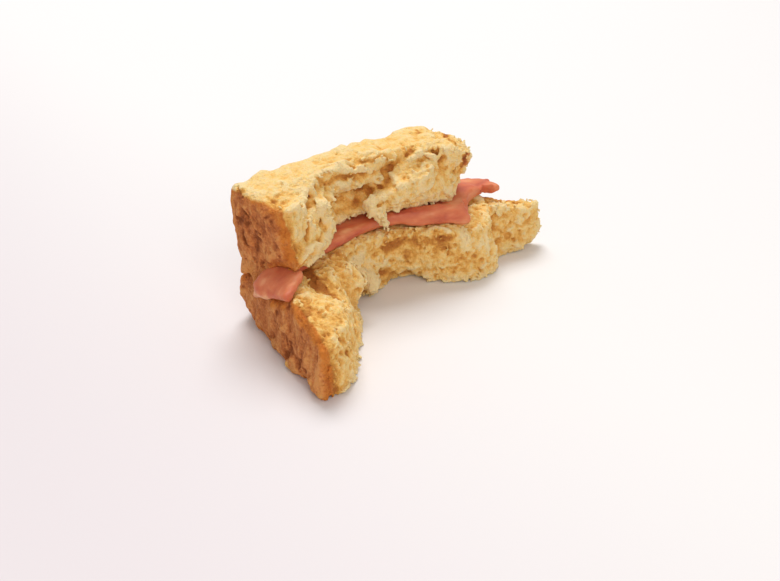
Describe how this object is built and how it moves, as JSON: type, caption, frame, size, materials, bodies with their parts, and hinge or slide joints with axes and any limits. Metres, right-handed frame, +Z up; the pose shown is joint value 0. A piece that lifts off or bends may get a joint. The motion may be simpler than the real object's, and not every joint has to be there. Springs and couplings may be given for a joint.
{
  "type": "half eaten sandwich",
  "caption": "Leftover corner of a ham sandwich, its brown bread bitten back to the crusts round folded ham that shows in the bite.",
  "frame": {"origin": "middle of the bounding box's underside, on the table", "axes": "+X along the back crust, away from the corner of the crusts; +Y from the bite to the back crust; +Z up"},
  "size_m": [0.0706, 0.0354, 0.0283],
  "materials": {
    "bread_lower": "matt, open cream crumb with a browned crust",
    "bread_upper": "matt, open cream crumb with a browned crust",
    "ham": "moist pink ham"
  },
  "bodies": {
    "root": {"bread_lower": "bread_lower", "bread_upper": "bread_upper", "ham": "ham"}
  },
  "joints": []
}
